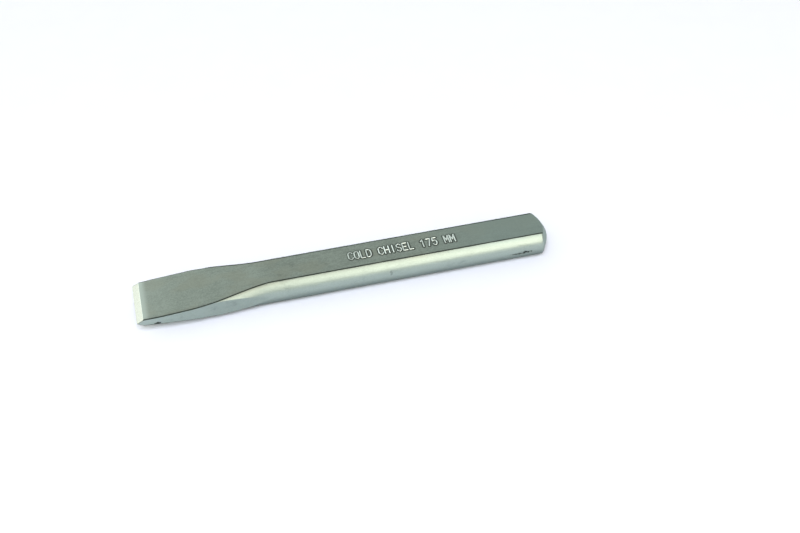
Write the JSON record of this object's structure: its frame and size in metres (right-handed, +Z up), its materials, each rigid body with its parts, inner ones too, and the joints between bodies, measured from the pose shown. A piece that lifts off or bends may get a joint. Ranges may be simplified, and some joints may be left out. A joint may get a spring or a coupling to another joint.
{
  "type": "cold chisel",
  "caption": "Forged cold chisel: flat-oval shank, wedge blade that widens to a ground cutting edge, and a striking head ground to a low cone with a crowned middle.",
  "frame": {"origin": "centre of the bounding box's underside: the middle of the length and width, on the surface that the lower flat lies on", "axes": "+X from the cutting edge to the striking head, Y across the blade, +Z up through the thickness"},
  "size_m": [0.175, 0.022, 0.012],
  "materials": {
    "plated_steel": "satin plated tool steel, with brightly ground bevels"
  },
  "bodies": {
    "root": {"chisel_body": "plated_steel"}
  },
  "joints": []
}
